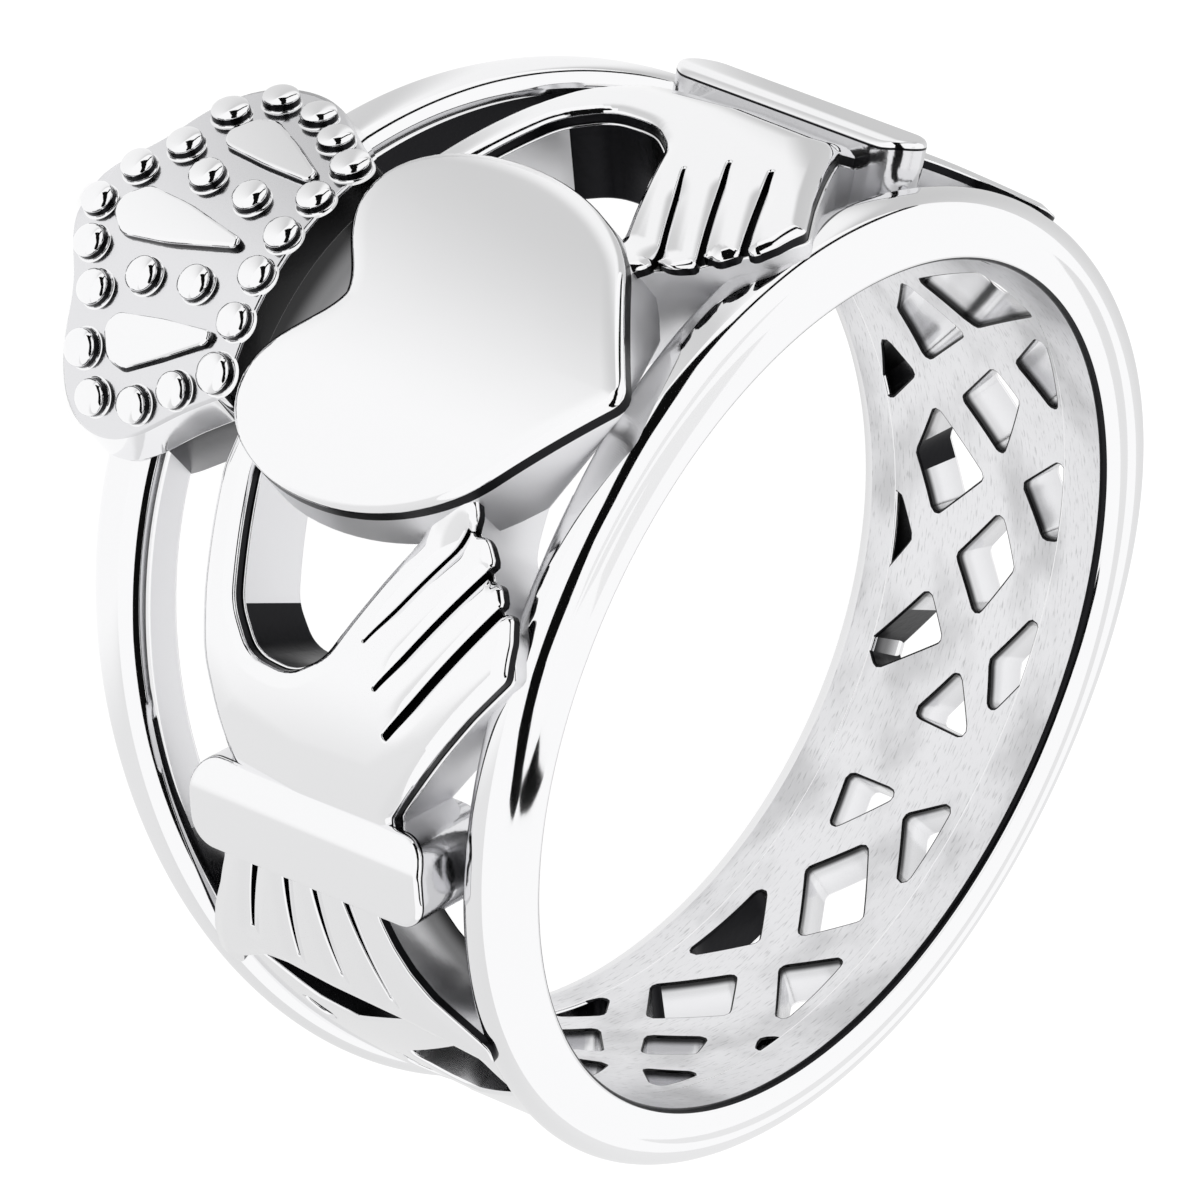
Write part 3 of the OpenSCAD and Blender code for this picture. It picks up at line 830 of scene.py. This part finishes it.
def beads(rows):
    """Buttons on the crown's face, one for each row of x, z and radius: a small fillet, a short upright
    wall and a flat dome, half an ellipse, turned about an axis that stands square on the face."""
    t = math.pi / 2 * np.linspace(0, 1, 9)
    # The dome's height, and the half width that its normals are worked out for, in mm
    dome, wide = 0.2, 0.4
    grow = np.concatenate([[0.06, 0.045, 0.015, 0], np.cos(t[:-1]) - 1, [-0.99]])
    share = np.concatenate([np.zeros(4), np.ones(len(t))])
    high = np.concatenate([[-0.06, 0.0, 0.01, 0.04], 0.18 + dome * np.sin(t)])
    n_out = np.concatenate([[0.2, 0.3, 0.7, 1.0], np.cos(t) / wide])
    n_up = np.concatenate([[1.0, 0.9, 0.7, 0.0], np.sin(t) / dome])
    turn = 2 * math.pi * np.arange(40) / 40
    spots, r = leaning(rows[:, :2]), rows[:, 2]
    x, z = spots[:, 0], spots[:, 1]
    out = r[:, None] + grow * np.where(share > 0, r[:, None], 1.0)
    base = np.stack([x, -crown_face(x), z], axis=-1)
    up = unit(np.stack([2 * CROWN_CURVE * x, -np.ones_like(x), 0 * x], axis=-1))
    across = unit(np.cross(up, np.array([0.0, 0.0, 1.0])))
    along = np.cross(across, up)
    ring = (across[:, None] * np.cos(turn)[None, :, None] + along[:, None] * np.sin(turn)[None, :, None])
    points = (base[:, None, None] + ring[:, :, None] * out[:, None, :, None]
              + up[:, None, None] * high[None, None, :, None])
    normals = ring[:, :, None] * n_out[None, None, :, None] + up[:, None, None] * n_up[None, None, :, None]
    count, n, m = points.shape[:3]
    index = np.arange(count * n * m).reshape(count, n, m)
    faces = [faces_of(np.concatenate([index, index[:, :1]], axis=1))]
    # The dome's top and the hidden underside are closed with fans of quads across the ring
    i = np.arange(n // 2 - 1)
    for j in (0, m - 1):
        row = index[:, :, j]
        cap = np.stack([row[:, i], row[:, i + 1], row[:, n - 2 - i], row[:, n - 1 - i]], axis=-1)
        faces.append((cap[..., ::-1] if j else cap).reshape(-1, 4))
    # The upright wall, the fourth row of faces from the crown's field, is painted black as shade
    finish_of = np.zeros(sum(len(part) for part in faces), dtype=int)
    finish_of[:len(faces[0])] = np.tile(np.arange(m - 1) == 3, count * n)
    faces = np.concatenate(faces)
    make_piece("crown_beads", points.reshape(-1, 3), faces, normals.reshape(-1, 3),
               ["polished_steel", "painted_shade_steel"], finish_of)


def hand(word, side):
    """One hand, in two slabs. The upper one follows the back of the hand: a round sheet that falls beyond
    the palm's ridge, first with the square of the way past it and then evenly, and rises to the
    fingertips. It is cut through by the grooves between the fingers, and falls off at its rim and
    beside each groove with the square of the nearness; its walls are painted black as shade. The lower
    one starts at the grooves' floor, painted black as shade, is a little wider and runs down to the
    finger hole. Its wall is painted black as shade on the palm's side, sanded where it faces up, and
    elsewhere as cast with painted shade darker towards the hole."""
    radius = mm("hand_r")

    def laid(a, z):
        return side * math.radians(a) * radius, z * HOLE_R

    loop = polar(HAND, radius, side)
    under_tips = polar(HAND[:11] + UNDER_TIPS + HAND[22:], radius, side)
    ridge = [laid(a, z) for a, z in PALM_RIDGE]
    ridge = [(*a, *b) for a, b in zip(ridge, ridge[1:])]
    grooves = RIGHT_GROOVES if side > 0 else LEFT_GROOVES
    lines = [(*laid(a0, z0), *laid(a1, z1)) for a0, z0, a1, z1, *_ in grooves]
    length = np.array([math.hypot(c - a, d - b) for a, b, c, d in lines])

    def body(p):
        gap = segment_gap(p, ridge)[0].min(axis=-1) * ridge_side(p, ridge, side)
        beyond = np.clip(gap / 0.6 + 0.5, 0, 1)
        fall = WRIST_FALL * (0.3 * beyond ** 2 + np.maximum(gap - 0.3, 0))
        turn = np.degrees(side * p[..., 0] / radius)
        return radius - fall + TIP_RISE * eased((20 - turn) / 6) * eased(p[..., 1] - 1.5)

    def over(p):
        depth = depth_at(within(loop), p)
        rim = 0.16 * np.maximum(1 - depth / 0.35, 0) ** 2
        near, held = segment_gap(p, lines)
        dip = 0.14 * np.maximum(1 - np.maximum(near - 0.06, 0) / 0.36, 0) ** 2
        dip = (dip * eased((1 - held) * length / 1.2)).max(axis=-1)
        return body(p) - np.maximum(rim, dip)

    def floor(p):
        return body(p) - mm("groove")

    def painted_shade_of_walls(q, w):
        # Painted shade by where the wall faces: black on the palm's side, sanded where it faces up, and as
        # cast with painted shade elsewhere
        palm = (side * w[:, 0] < -0.4) & (side * q[:, 0] > 6) & (q[:, 1] < 1)
        return np.where(palm, 3, 5 * (w[:, 1] > 0.1))

    # The upper slab's walls and underside are painted black as shade
    plate(word + "_hand", grid_over(loop, 0.06), cut_out(within(loop), slots(grooves, radius, side)),
          round_chart(radius), over, lambda p: floor(p) - 0.003,
          ["polished_steel", "painted_shade_steel", "painted_shade_steel"], edge=0.06, low_edge=0.01, turns=4)
    plate(word + "_hand_base", grid_over(loop, 0.12), within(under_tips, 0.06), round_chart(radius),
          floor, level(HOLE_R + 0.008),
          ["painted_shade_steel", "brushed_steel", "cast_steel_painted_shade", "painted_shade_steel", "polished_steel",
           "sanded_steel"],
          edge=0.04, low_edge=0.06, turns=3, paint=painted_shade_of_walls)


class RING_OT_hands(RingPiece, bpy.types.Operator):
    """Build the two hands that hold the heart"""

    bl_idname = "ring.hands"
    bl_label = "Hands"

    def execute(self, context):
        hand("right", 1)
        hand("left", -1)
        return {"FINISHED"}


def ridge_side(p, ridge, side):
    """1 on the wrist's side of the palm's ridge and -1 on the fingers' side, by the nearest stretch."""
    rows = np.array(ridge)
    gap = segment_gap(p, ridge)[0]
    near = gap.argmin(axis=-1)
    a, b = rows[near, :2], rows[near, 2:]
    along, away = b - a, p - a
    cross = along[..., 0] * away[..., 1] - along[..., 1] * away[..., 0]
    return np.where(cross * side < 0, 1.0, -1.0)


def sleeve(word, side):
    """One ribbed sleeve, in two slabs as a hand is, and the cuff bar between it and the hand. The cuff
    stands flat on the line through the hole's middle, and falls away towards the hand along a softened
    slope. The left cuff is the narrower one."""
    r_sleeve, r_cuff = mm("sleeve_r"), mm("cuff_r")
    loop = polar(SLEEVE, r_sleeve, side)
    region = cut_out(within(loop), slots(RIB_GROOVES, r_sleeve, side))

    def over(p):
        return r_sleeve - 0.1 * (1 - eased(depth_at(region, p) / 0.35))

    # The sleeve's walls are painted black as shade, and so are the grooves' floors on the base below; the
    # base's walls are as cast with painted shade
    plate(word + "_sleeve", grid_over(loop, 0.07), region, round_chart(r_sleeve), over,
          level(r_sleeve - 0.303),
          ["polished_steel", "painted_shade_steel", "painted_shade_steel"], edge=0.05, low_edge=0.01, turns=4)
    plate(word + "_sleeve_base", grid_over(loop, 0.12), within(loop), round_chart(r_sleeve),
          level(r_sleeve - 0.3), level(HOLE_R + 0.012),
          ["painted_shade_steel", "brushed_steel", "cast_steel_painted_shade"], edge=0.01, low_edge=0.06, turns=2)
    low, high = (-1, 1) if side > 0 else (-0.7, 0.62)
    bar = rounded([(low, -2.4, 0.65), (high, -2.4, 0.65), (high, 4.32, 0.65), (low, 4.32, 0.65)], 12)

    def slope(p):
        t = -side * p[..., 0] - 0.35
        return r_cuff - 0.65 * (t + np.sqrt(t ** 2 + 0.01)) / 2

    # The cuff's satin wall has a band at its top painted black as shade
    plate(word + "_cuff", grid_over(bar, 0.07), within(bar), flat_chart(side * 55.5), slope,
          lambda p: np.sqrt((HOLE_R + 0.016) ** 2 - p[..., 0] ** 2),
          ["polished_steel", "brushed_steel", "satin_steel", "painted_shade_steel"], edge=0.14,
          low_edge=0.06, band=0.05)


class RING_OT_sleeves(RingPiece, bpy.types.Operator):
    """Build the cuffs and the ribbed sleeves"""

    bl_idname = "ring.sleeves"
    bl_label = "Cuffs and sleeves"

    def execute(self, context):
        sleeve("right", 1)
        sleeve("left", -1)
        return {"FINISHED"}


def add_node(tree, kind, inputs=None, **settings):
    """Adds a node, sets its settings, and sets or links its inputs."""
    made = tree.nodes.new(kind)
    for key, value in settings.items():
        setattr(made, key, value)
    for key, value in (inputs or {}).items():
        if isinstance(value, bpy.types.NodeSocket):
            tree.links.new(value, made.inputs[key])
        else:
            made.inputs[key].default_value = value
    return made


def bare_tree(name):
    """The empty node tree of a new material."""
    material = bpy.data.materials.new(name)
    material.use_nodes = True
    material.node_tree.nodes.clear()
    return material.node_tree


def new_metal(name, colour, roughness):
    """A material with one metal shader on it."""
    tree = bare_tree(name)
    shader = add_node(tree, "ShaderNodeBsdfPrincipled",
                      {"Base Color": (*colour, 1), "Metallic": 1.0, "Roughness": roughness})
    add_node(tree, "ShaderNodeOutputMaterial", {"Surface": shader.outputs["BSDF"]})
    return tree, shader


def bumped(tree, shader, place, scale, detail, strength, depth):
    """Lays a noise on a metal as its bump, of a depth in metres, and gives the noise back."""
    noise = add_node(tree, "ShaderNodeTexNoise", {"Vector": place, "Scale": scale, "Detail": detail})
    bump = add_node(tree, "ShaderNodeBump",
                    {"Strength": strength, "Distance": depth, "Height": noise.outputs["Fac"]})
    tree.links.new(bump.outputs["Normal"], shader.inputs["Normal"])
    return noise.outputs["Fac"]


def polished_steel(colour):
    """Stainless steel, cast and then polished: mirror bright, with the faint wave that the wheel leaves,
    about 2 mm from crest to crest, which is also a little sharper and a little duller by turns."""
    tree, shader = new_metal("polished_steel", colour, 0.05)
    spot = add_node(tree, "ShaderNodeTexCoord").outputs["Object"]
    wave = bumped(tree, shader, spot, 450.0, 2.0, 0.25, 0.00002)
    smear = add_node(tree, "ShaderNodeMapRange",
                     {"Value": wave, "From Min": 0.3, "From Max": 0.7, "To Min": 0.035, "To Max": 0.07})
    tree.links.new(smear.outputs["Result"], shader.inputs["Roughness"])


def hole_place(tree):
    """Places measured from the middle of the finger hole, in metres, with Z along the hole."""
    spot = add_node(tree, "ShaderNodeTexCoord").outputs["Object"]
    tilt = math.atan2(HOLE["axis"][1], HOLE["axis"][2])
    laid = add_node(tree, "ShaderNodeMapping",
                    {"Vector": spot, "Location": HOLE["pos_m"], "Rotation": (-tilt, 0.0, 0.0)},
                    vector_type="TEXTURE")
    return laid.outputs["Vector"]


def ramp(tree, value, stops):
    """Colours at places between 0 and 1, blended smoothly; each stop is a place and a colour."""
    made = add_node(tree, "ShaderNodeValToRGB", {"Fac": value})
    made.color_ramp.interpolation = "EASE"
    while len(made.color_ramp.elements) < len(stops):
        made.color_ramp.elements.new(0.5)
    for element, (place, colour) in zip(made.color_ramp.elements, stops):
        element.position = place
        element.color = (*colour, 1)
    return made.outputs["Color"]


def brushed_steel(colour):
    """The same steel, brushed round the inside of the hole: short fine scratches that run with the
    turn. The coordinates are the angle about the hole, the height along it and nothing else, so the
    scratches are 0.05 mm wide, drawn a little coarser than real ones, and about 0.3 mm long. The
    deepest of them are darker, and broad soft patches 2 to 3 mm across are duller than the rest."""
    tree, shader = new_metal("brushed_steel", colour, 0.3)
    axes = add_node(tree, "ShaderNodeSeparateXYZ", {"Vector": hole_place(tree)})
    angle = add_node(tree, "ShaderNodeMath", {0: axes.outputs["X"], 1: axes.outputs["Y"]},
                     operation="ARCTAN2")
    rolled = add_node(tree, "ShaderNodeCombineXYZ", {"X": angle.outputs["Value"], "Y": axes.outputs["Z"]})
    fine, broad = (
        add_node(tree, "ShaderNodeMapping", {"Vector": rolled.outputs["Vector"], "Scale": scale})
        for scale in ((32.0, 22000.0, 1.0), (3.0, 500.0, 1.0))
    )
    streak = bumped(tree, shader, fine.outputs["Vector"], 1.0, 3.0, 0.5, 0.00001)
    shade = ramp(tree, streak, [(0.28, [c * 0.72 for c in colour]), (0.46, colour)])
    cloud = add_node(tree, "ShaderNodeTexNoise",
                     {"Vector": broad.outputs["Vector"], "Scale": 1.0, "Detail": 4.0})
    worn = ramp(tree, cloud.outputs["Fac"], [(0.33, [0.74] * 3), (0.55, [1.0] * 3)])
    both = add_node(tree, "ShaderNodeMix", {0: 1.0, 6: shade, 7: worn}, data_type="RGBA",
                    blend_type="MULTIPLY")
    tree.links.new(both.outputs[2], shader.inputs["Base Color"])


def grained_metal(name, colour, roughness, scale, strength):
    """A metal with an even grain of the given scale, in grains a metre, 0.01 mm deep. Real grains are
    finer; they are drawn as coarse as they need to be to show."""
    tree, shader = new_metal(name, colour, roughness)
    spot = add_node(tree, "ShaderNodeTexCoord").outputs["Object"]
    bumped(tree, shader, spot, scale, 2.0, strength, 0.00001)
    return tree, shader


def painted_shade_metal(name, colour, roughness, stops):
    """Walls as they came from the mould, with a grain of 0.2 mm and painted shade that changes with the
    distance from the hole's middle: each stop gives a distance from the hole's middle in mm and the
    share of the colour there."""
    tree, shader = grained_metal(name, colour, roughness, 5000.0, 0.12)
    flat = add_node(tree, "ShaderNodeVectorMath", {0: hole_place(tree), 1: (1.0, 1.0, 0.0)},
                    operation="MULTIPLY")
    away = add_node(tree, "ShaderNodeVectorMath", {0: flat.outputs["Vector"]}, operation="LENGTH")
    first, last = stops[0][0], stops[-1][0]
    share = add_node(tree, "ShaderNodeMapRange",
                     {"Value": away.outputs["Value"], "From Min": first / 1000, "From Max": last / 1000})
    rows = [((r - first) / (last - first), [c * s for c in colour]) for r, s in stops]
    tree.links.new(ramp(tree, share.outputs["Result"], rows), shader.inputs["Base Color"])


def stage_sheet(name, corners, faces, seen=True):
    """A flat sheet of the paper that has its name, which belongs to the stage and not to the ring. One
    that isn't seen is a card for the steel to reflect, and nothing else sees it."""
    mesh = bpy.data.meshes.new(name)
    mesh.from_pydata(corners, [], faces)
    mesh.materials.append(bpy.data.materials[name + "_paper"])
    sheet = bpy.data.objects.new(name, mesh)
    if not seen:
        sheet.visible_camera = sheet.visible_diffuse = False
        sheet.visible_shadow = sheet.visible_transmission = False
    bpy.context.scene.collection.objects.link(sheet)


def paper(name, colour, glow, roughness=1.0):
    """Dull paper of a colour, with a white glow of its own."""
    material = bpy.data.materials.new(name + "_paper")
    material.use_nodes = True
    shader = material.node_tree.nodes["Principled BSDF"]
    for key, value in {"Base Color": (*colour, 1), "Roughness": roughness, "Specular IOR Level": 0.0,
                       "Emission Color": (1, 1, 1, 1), "Emission Strength": glow}.items():
        shader.inputs[key].default_value = value


def arc_card(name, rows, bright=0.0):
    """A card, black or as bright as given, that runs along an arc at 1 m from the ring. Each row gives
    azimuth (0 faces -Y, 90 faces +X) and elevation of one edge, then of the other."""
    turn = np.radians(np.array(rows, dtype=float).reshape(-1, 2, 2)).transpose(1, 0, 2).reshape(-1, 2)
    az, el = turn.T
    corners = np.stack([np.sin(az) * np.cos(el), -np.cos(az) * np.cos(el), np.sin(el)], axis=-1)
    paper(name, [0.004] * 3, bright)
    stage_sheet(name, corners.tolist(), faces_of(np.arange(len(turn)).reshape(2, -1)).tolist(), False)


def floor_shade_card(name, stops):
    """A round card laid 0.2 mm above the floor, with painted shade of the floor that only the steel's
    reflections see. Each stop gives an azimuth about the ring and how bright the card is there; under
    the ring itself it is evenly bright."""
    turn = 2 * math.pi * np.arange(64) / 64
    corners = np.stack([np.cos(turn), np.sin(turn), 0 * turn + 0.0002], axis=-1)
    tree = bare_tree(name + "_paper")
    spot = add_node(tree, "ShaderNodeTexCoord").outputs["Object"]
    axes = add_node(tree, "ShaderNodeSeparateXYZ", {"Vector": spot})
    front = add_node(tree, "ShaderNodeMath", {0: axes.outputs["Y"], 1: -1.0}, operation="MULTIPLY")
    angle = add_node(tree, "ShaderNodeMath", {0: axes.outputs["X"], 1: front.outputs["Value"]},
                     operation="ARCTAN2")
    share = add_node(tree, "ShaderNodeMapRange",
                     {"Value": angle.outputs["Value"], "From Min": -math.pi, "From Max": math.pi})
    around = ramp(tree, share.outputs["Result"], [((az + 180) / 360, (b, b, b)) for az, b in stops])
    away = add_node(tree, "ShaderNodeVectorMath", {0: spot}, operation="LENGTH")
    beyond = add_node(tree, "ShaderNodeMapRange",
                      {"Value": away.outputs["Value"], "From Min": 0.007, "From Max": 0.011},
                      interpolation_type="SMOOTHSTEP")
    light = add_node(tree, "ShaderNodeMix",
                     {0: beyond.outputs["Result"], 6: (0.95, 0.95, 0.95, 1), 7: around}, data_type="RGBA")
    glow = add_node(tree, "ShaderNodeEmission", {"Color": light.outputs[2], "Strength": 1.05})
    add_node(tree, "ShaderNodeOutputMaterial", {"Surface": glow.outputs["Emission"]})
    stage_sheet(name, corners.tolist(), [list(range(64))], False)


class RING_OT_stage(RingPiece, bpy.types.Operator):
    """Set out the pale floor, the soft light and the camera"""

    bl_idname = "ring.stage"
    bl_label = "Stage"

    def execute(self, context):
        scene = context.scene
        paper("floor", scene.ring_colours.floor, 0.85, 0.9)
        stage_sheet("floor", [(-3, -3, 0), (3, -3, 0), (3, 3, 0), (-3, 3, 0)], [(0, 1, 2, 3)])
        arc_card("dark_overhead", [
            (-103, -4, -103, 2), (-95, 3, -95, 10), (-84, 8, -84, 15), (-73, 12, -73, 20),
            (-61, 18, -61, 26), (-50, 21, -50, 30), (-35, 11, -41, 36), (-24, 5, -38, 50),
            (-18, 19, -34, 55), (-14, 22, -28, 59), (-9, 30, -23, 65), (2, 43, -11, 77),
            (14, 48, 24, 80), (37, 51, 125, 78), (60, 50, 125, 70), (87, 53, 148, 60),
            (119, 54, 172, 41), (133, 50, -178, 29),
        ])
        arc_card("grey_high", [(-175, 44, -175, 58), (-150, 46, -150, 62), (-125, 44, -125, 58)], 0.92)
        # A card of painted floor shade, seen only in the steel's reflections
        floor_shade_card("floor_shade_card", [(-180, 0.85), (-85, 0.6), (-70, 0.95), (-52, 0.95), (-36, 0.66), (5, 1.0),
                              (44, 1.0), (62, 0.82), (110, 0.78), (180, 0.85)])
        world = bpy.data.worlds.new("studio")
        world.use_nodes = True
        world.node_tree.nodes["Background"].inputs["Color"].default_value = (1, 1, 1, 1)
        world.node_tree.nodes["Background"].inputs["Strength"].default_value = 1.06
        scene.world = world
        scene.view_settings.view_transform = "Standard"
        columns = [CAMERA_RIGHT, [-c for c in CAMERA_DOWN], [-c for c in CAMERA_AHEAD]]
        pose = np.eye(4)
        pose[:3, :3] = turned(np.array(columns)).T
        pose[:3, 3] = row_frame(np.array([CAMERA_PLACE]))[0]
        data = bpy.data.cameras.new("camera")
        data.sensor_width = 36.0
        data.lens = CAMERA_LENS
        data.clip_start = 0.01
        data.clip_end = 10.0
        camera = bpy.data.objects.new("camera", data)
        camera.matrix_world = Matrix(pose.tolist())
        scene.collection.objects.link(camera)
        scene.camera = camera
        return {"FINISHED"}


class RING_PT_panel(bpy.types.Panel):
    """Sizes, colours and steps of the ring"""

    bl_idname = "RING_PT_panel"
    bl_label = "Claddagh Ring"
    bl_space_type = "VIEW_3D"
    bl_region_type = "UI"
    bl_category = "Claddagh Ring"

    def draw(self, context):
        for group in (context.scene.ring_sizes, context.scene.ring_colours):
            for name in group.bl_rna.properties.keys():
                if name not in ("rna_type", "name"):
                    self.layout.prop(group, name)
        for operator in OPERATORS:
            self.layout.operator(operator.bl_idname)


OPERATORS = [RING_OT_finishes, RING_OT_rails, RING_OT_lattice, RING_OT_heart, RING_OT_crown,
             RING_OT_hands, RING_OT_sleeves, RING_OT_stage]
CLASSES = [RingSizes, RingColours] + OPERATORS + [RING_PT_panel]


def register():
    """Registers every class and gives the scene its sizes and colours."""
    for kind in CLASSES:
        bpy.utils.register_class(kind)
    bpy.types.Scene.ring_sizes = bpy.props.PointerProperty(type=RingSizes)
    bpy.types.Scene.ring_colours = bpy.props.PointerProperty(type=RingColours)


def unregister():
    """Takes the sizes, the colours and the classes away again."""
    del bpy.types.Scene.ring_sizes
    del bpy.types.Scene.ring_colours
    for kind in reversed(CLASSES):
        bpy.utils.unregister_class(kind)


def main():
    """Builds the whole ring and its stage."""
    register()
    bpy.ops.ring.finishes()
    bpy.ops.ring.rails()
    bpy.ops.ring.lattice()
    bpy.ops.ring.heart()
    bpy.ops.ring.crown()
    bpy.ops.ring.hands()
    bpy.ops.ring.sleeves()
    bpy.ops.ring.stage()


if __name__ == "__main__":
    main()
